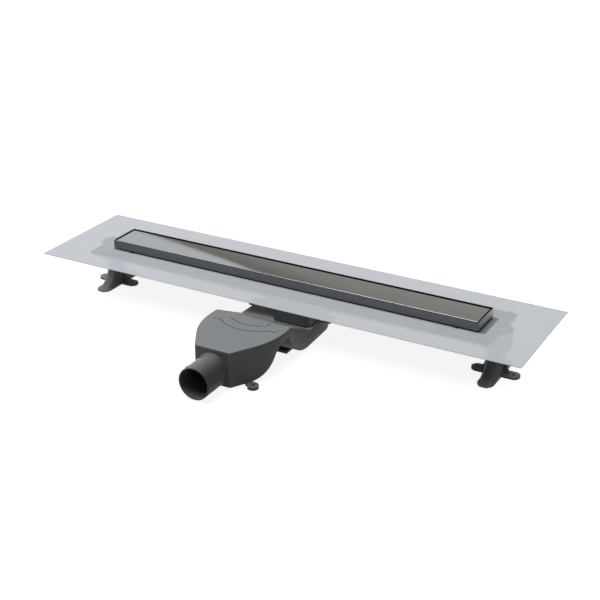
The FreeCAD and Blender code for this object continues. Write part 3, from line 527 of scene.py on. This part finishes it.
pad_nodes = [f"cover_pad_{side}_{end}" for side in ("front", "back") for end in ("left", "right")]
pad_length, pad_width, pad_height = spans(pad_nodes[0])
rib_share = 0.35
rib_count = 5
rib_sides = 12
rib_spread = 0.4
pads = Recipe(
    "ribbed_pads",
    Length=pad_length,
    Width=pad_width,
    Height=pad_height,
    Rib=pad_height * rib_share,
    Material=black_rubber,
)
slab_height = pads.math("SUBTRACT", pads.size("Height"), pads.size("Rib"))
slab_size = pads.vector(X=pads.size("Length"), Y=pads.size("Width"), Z=slab_height)
slab_drop = pads.math("MULTIPLY", pads.size("Rib"), -0.5)
slab = pads.lifted(pads.node("GeometryNodeMeshCube", inputs={"Size": slab_size}), slab_drop)
rib_bar = pads.node(
    "GeometryNodeMeshCylinder",
    {"fill_type": "NGON"},
    {"Vertices": rib_sides, "Radius": pads.size("Rib"), "Depth": pads.size("Width")},
)
rib_start = pads.math("MULTIPLY", pads.size("Length"), -rib_spread)
rib_end = pads.math("MULTIPLY", pads.size("Length"), rib_spread)
rib_depth = pads.math("MULTIPLY", pads.size("Rib"), -1.0)
rib_level = pads.math("MULTIPLY_ADD", pads.size("Height"), 0.5, rib_depth)
rib_row = pads.node(
    "GeometryNodeMeshLine",
    {"mode": "END_POINTS"},
    {
        "Count": rib_count,
        "Start Location": pads.vector(X=rib_start, Z=rib_level),
        "Offset": pads.vector(X=rib_end, Z=rib_level),
    },
)
ribs = pads.placed(rib_row, rib_bar, Rotation=(math.pi / 2, 0.0, 0.0))
pads.ends(pads.placed(pads.size("Geometry"), pads.join(slab, ribs)))
rubber_pads = pads.made_on("rubber_pads", [middle(node) for node in pad_nodes])
fitted(rubber_pads, black_rubber, "seal_rubber", *pad_nodes)

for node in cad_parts:
    if node.startswith(("frame_clip", "frame_spacer")):
        dress(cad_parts[node], black_plastic)

# Sealing sheet: a thin membrane faced with pale fleece on both sides, laid on the flange.
# It is glued down round the frame and lets a little light through.
sheet_low, sheet_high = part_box("sealing_membrane")
sheet_length = sheet_high[0] - sheet_low[0]
sheet_width = sheet_high[1] - sheet_low[1]
sheet_thick = sheet_high[2] - sheet_low[2]
gap_left = frame_low[0] - 1 * MM
gap_right = frame_high[0] + 10 * MM
gap_side = frame_high[1]
clip_low, clip_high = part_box("frame_clip_back_right")
clip_play = 0.5 * MM
notch_near, notch_far = clip_low[0] - clip_play, clip_high[0] + clip_play
notch_side = clip_high[1] + clip_play
cloth_grid = 10 * MM


def stations(outer, cuts, step):
    """Evenly spread positions from edge to edge that include every cut on both sides."""
    marks = sorted([0.0, outer] + cuts)
    half = [0.0]
    for near, far in zip(marks, marks[1:]):
        runs = max(1, round((far - near) / step))
        half += [near + (far - near) * i / runs for i in range(1, runs + 1)]
    return [-value for value in reversed(half[1:])] + half


def cut_away(x, y):
    """Whether a spot lies in the opening or in one of its notches round the clips."""
    in_gap = gap_left < x < gap_right and abs(y) < gap_side
    return in_gap or (notch_near < abs(x) < notch_far and abs(y) < notch_side)


across = stations(sheet_length / 2, [-gap_left, gap_right, notch_near, notch_far], cloth_grid)
along = stations(sheet_width / 2, [gap_side, notch_side], cloth_grid)
cloth = bmesh.new()
knots = [[cloth.verts.new((x, y, sheet_high[2])) for y in along] for x in across]
for i in range(len(across) - 1):
    for j in range(len(along) - 1):
        if not cut_away((across[i] + across[i + 1]) / 2, (along[j] + along[j + 1]) / 2):
            cloth.faces.new((knots[i][j], knots[i + 1][j], knots[i + 1][j + 1], knots[i][j + 1]))
loose = [knot for knot in cloth.verts if not knot.link_faces]
bmesh.ops.delete(cloth, geom=loose, context="VERTS")
fleece_mesh = bpy.data.meshes.new("fleece_sheet")
cloth.to_mesh(fleece_mesh)
cloth.free()
fleece = bpy.data.objects.new("fleece_sheet", fleece_mesh)
bpy.context.scene.collection.objects.link(fleece)
body = fleece.modifiers.new("thickness", "SOLIDIFY")
body.thickness = sheet_thick
body.offset = -1.0
settled(fleece)

weave = Finish(bpy.data.materials.new("pale_fleece"))
x, y, z = weave.axes()
thread = 2.8 * MM
slant_turns = 1.4 * math.pi / thread
warp = ((x + y) * slant_turns).sine()
weft = ((x - y) * slant_turns).sine()
fibres = weave.noise(weave.place(), 900.0, detail=4.0)
patches = weave.noise(weave.place(), 14.0, detail=2.0)
cloth_height = warp * weft * 0.5 + fibres
rightward = x / sheet_length + 0.5
weave_contrast = rightward * 0.9 + 0.2
# Both tones darken from left to right; the darkening is painted shade.
dark_fibres = weave.blend(rightward, (0.470, 0.488, 0.525), (0.405, 0.430, 0.458))
pale = weave.blend(rightward, (0.572, 0.590, 0.626), (0.540, 0.568, 0.600))
pale_share = fibres * 0.4 + patches * 0.3 + warp * weft * weave_contrast + 0.15
felt = weave.node(
    "ShaderNodeBsdfPrincipled",
    inputs={
        "Base Color": weave.blend(pale_share, dark_fibres, pale),
        "Roughness": 0.92,
        "Specular IOR Level": 0.15,
        "Alpha": 0.74,
        "Normal": weave.bump(cloth_height, 0.08 * MM, 0.5),
    },
)
lamp_share = 0.70
let_through = weave.node("ShaderNodeLightPath", output="Is Shadow Ray") * lamp_share
clear = weave.node("ShaderNodeBsdfTransparent")
thin_felt = weave.node("ShaderNodeMixShader", inputs={0: let_through, 1: felt, 2: clear})
weave.node("ShaderNodeOutputMaterial", inputs={"Surface": thin_felt})
fitted(fleece, weave.owner, "fleece", "sealing_membrane")

# Channel: one dark grey moulding with its flange, sloping trough, neck and foot sockets.
# A rubber ring seals the neck on the trap.


def moulded(
    name, tone_at=None, shine_at=None, dark=(0.165, 0.180, 0.188), light=(0.205, 0.220, 0.226)
):
    """Grey plastic; the callbacks darken or polish parts of one moulding."""
    plastic = Finish(bpy.data.materials.new(name))
    spark = plastic.noise(plastic.place(), 1500.0)
    flow = plastic.noise(plastic.place(), 22.0, detail=3.0)
    tone = plastic.blend(flow * 0.7 + spark * 0.3, dark, light)
    return plastic.surface(
        Base_Color=tone_at(plastic, tone) if tone_at else tone,
        Roughness=flow * 0.10 + spark * 0.06 + 0.42,
        Specular_Level=0.22,
        Coat_Weight=shine_at(plastic) if shine_at else 0.0,
        Coat_Roughness=0.10,
        Normal=plastic.bump(spark, 0.03 * MM, 0.35),
    )


grey_moulding = moulded("grey_moulding")
channel = softened("channel_body", "channel_moulding", 0.4 * MM)
fitted(settled(channel), grey_moulding, "grey_plastic", "channel_body")
for node in ("neck_seal", "insert_seal"):
    dress(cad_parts[node], black_rubber)

# Trap: a pear-shaped shell welded from a lower tub and a roof that slopes down to the neck.
# The deep round pot holds the water seal, and the outlet leaves at the front as a pipe end.
pipe_root = -232.5 * MM
pipe_level = -62 * MM
bore_radius = 23.6 * MM
bore_depth = 40 * MM
shade_front, shade_back = -150 * MM, -110 * MM
highlight_left, highlight_right = -12 * MM, 20 * MM
rubbed_left, rubbed_right = -14 * MM, 16 * MM
groove_low, groove_high = -31.0 * MM, -29.15 * MM
groove_front = -178 * MM
groove_half = 52 * MM
plate_low, plate_high = -61.3 * MM, -60.8 * MM


def spigot_tone(plastic, tone):
    """The tub's front is painted darker as shade; the pipe end carries a painted highlight, pale at
    its left and dark at its right.
    """
    x, y, z = plastic.axes()
    lift = z - pipe_level
    in_pipe = y < pipe_root
    in_bore = (x * x + lift * lift < bore_radius ** 2) * (y < pipe_root + bore_depth)
    behind = plastic.rise(y, shade_front, shade_back)
    shaded = plastic.blend(behind, (0.125, 0.133, 0.137), tone)
    sideways = plastic.rise(x, highlight_left, highlight_right)
    # Painted highlight: the pipe end is pale at its left and dark at its right.
    pipe_highlight = plastic.blend(sideways, (0.135, 0.142, 0.151), (0.040, 0.042, 0.045))
    outside = plastic.blend(in_pipe, shaded, pipe_highlight)
    return plastic.blend(in_bore, outside, (0.115, 0.120, 0.120))


def spigot_shine(plastic):
    """The pipe end is smooth outside, so that a seal slides over it; its right is rubbed dull."""
    x, y, z = plastic.axes()
    lift = z - pipe_level
    rubbed = plastic.rise(x, rubbed_left, rubbed_right)
    return (y < pipe_root) * (x * x + lift * lift > bore_radius ** 2) * (1 - rubbed)


def roof_tone(plastic, tone):
    """The roof's grooves are painted dark as shade, and the low plate round the neck is painted
    pale as light.
    """
    x, y, z = plastic.axes()
    at_roof_front = (y > groove_front) * (x * x < groove_half ** 2)
    # Painted shade in the grooves.
    shaded_grooves = z.between(groove_low, groove_high) * at_roof_front
    # Painted light on the low plate under the sheet.
    lit_plate = z.between(plate_low, plate_high)
    groove_shaded_tone = plastic.blend(shaded_grooves, tone, (0.020, 0.020, 0.020))
    return plastic.blend(lit_plate, groove_shaded_tone, (0.86, 0.84, 0.81))


tub = softened("trap_body", "trap_tub", 0.8 * MM, segments=3)
tub_moulding = moulded("tub_moulding", spigot_tone, spigot_shine)
fitted(settled(tub), tub_moulding, "grey_plastic", "trap_body")
roof = softened("trap_cover", "trap_roof", 0.5 * MM)
roof_moulding = moulded("roof_moulding", roof_tone)
fitted(settled(roof), roof_moulding, "grey_plastic", "trap_cover")

# Dip tube: a grey moulding that hangs in the neck by its rim, with its foot in the water.
# The black strainer lies on top, and both lift out for cleaning.
dip_tube = softened("trap_insert", "dip_tube", 0.3 * MM)
fitted(settled(dip_tube), grey_moulding, "grey_plastic", "trap_insert")
dress(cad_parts["hair_strainer"], black_plastic)

# Feet: hollow columns that spread towards the floor, plugged into the channel's sockets.
# Each has a screw ear on either side with a gusset. Both are one plastic; the left one's paler grey
# is painted light.
for side, dark, light in (
    ("left", (0.310, 0.320, 0.325), (0.370, 0.380, 0.385)),
    ("right", (0.160, 0.172, 0.178), (0.200, 0.212, 0.216)),
):
    foot = softened(f"{side}_foot", f"{side}_flared_foot", 0.7 * MM, segments=3)
    foot_moulding = moulded(f"{side}_foot_moulding", dark=dark, light=light)
    fitted(settled(foot), foot_moulding, "grey_plastic", f"{side}_foot")

# Screws: plain steel, countersunk, with a six-sided socket, driven in from above.
# One pair holds the feet in the channel's sockets, the other the trap's roof on its tub.
head_sides = 32
socket_share = 0.45
bright = Finish(bpy.data.materials.new("screw_steel"))
turned = bright.noise(bright.stretched(400.0, 400.0, 2500.0), 1.0)
screw_steel = bright.surface(
    Base_Color=bright.blend(turned, (0.50, 0.50, 0.50), (0.62, 0.62, 0.62)),
    Metallic=1.0,
    Roughness=0.28 + turned * 0.12,
    Normal=bright.bump(turned, 0.02 * MM, 0.4),
)
for kind in ("foot_screw", "trap_screw"):
    nodes = [f"{kind}_left", f"{kind}_right"]
    width, _, tall = spans(nodes[0])
    head_radius = width / 2
    screws = Recipe(
        kind,
        Head=head_radius,
        Shank=head_radius / 2,
        Taper=head_radius / 2,
        Length=tall,
        Socket=head_radius * socket_share,
        Material=screw_steel,
    )
    taper = screws.size("Taper")
    cone = screws.node(
        "GeometryNodeMeshCone",
        inputs={
            "Vertices": head_sides,
            "Radius Top": screws.size("Head"),
            "Radius Bottom": screws.size("Shank"),
            "Depth": taper,
        },
    )
    shank_length = screws.math("SUBTRACT", screws.size("Length"), taper)
    shank = screws.node(
        "GeometryNodeMeshCylinder",
        inputs={"Vertices": head_sides, "Radius": screws.size("Shank"), "Depth": shank_length},
    )
    key = screws.node(
        "GeometryNodeMeshCylinder",
        inputs={"Vertices": 6, "Radius": screws.size("Socket"), "Depth": taper},
    )
    half_length = screws.math("MULTIPLY", screws.size("Length"), 0.5)
    head = screws.lifted(cone, screws.math("SUBTRACT", half_length, taper))
    stem = screws.lifted(shank, screws.math("MULTIPLY", taper, -0.5))
    whole = screws.node(
        "GeometryNodeMeshBoolean",
        {"operation": "UNION", "solver": "EXACT"},
        {"Mesh 2": screws.join(head, stem)},
    )
    socketed = screws.node(
        "GeometryNodeMeshBoolean",
        {"operation": "DIFFERENCE", "solver": "EXACT"},
        {"Mesh 1": whole, "Mesh 2": screws.lifted(key, half_length)},
    )
    screws.ends(screws.placed(screws.size("Geometry"), socketed))
    pair = screws.made_on(f"{kind}s", [middle(node) for node in nodes])
    fitted(pair, screw_steel, "screw_steel", *nodes)
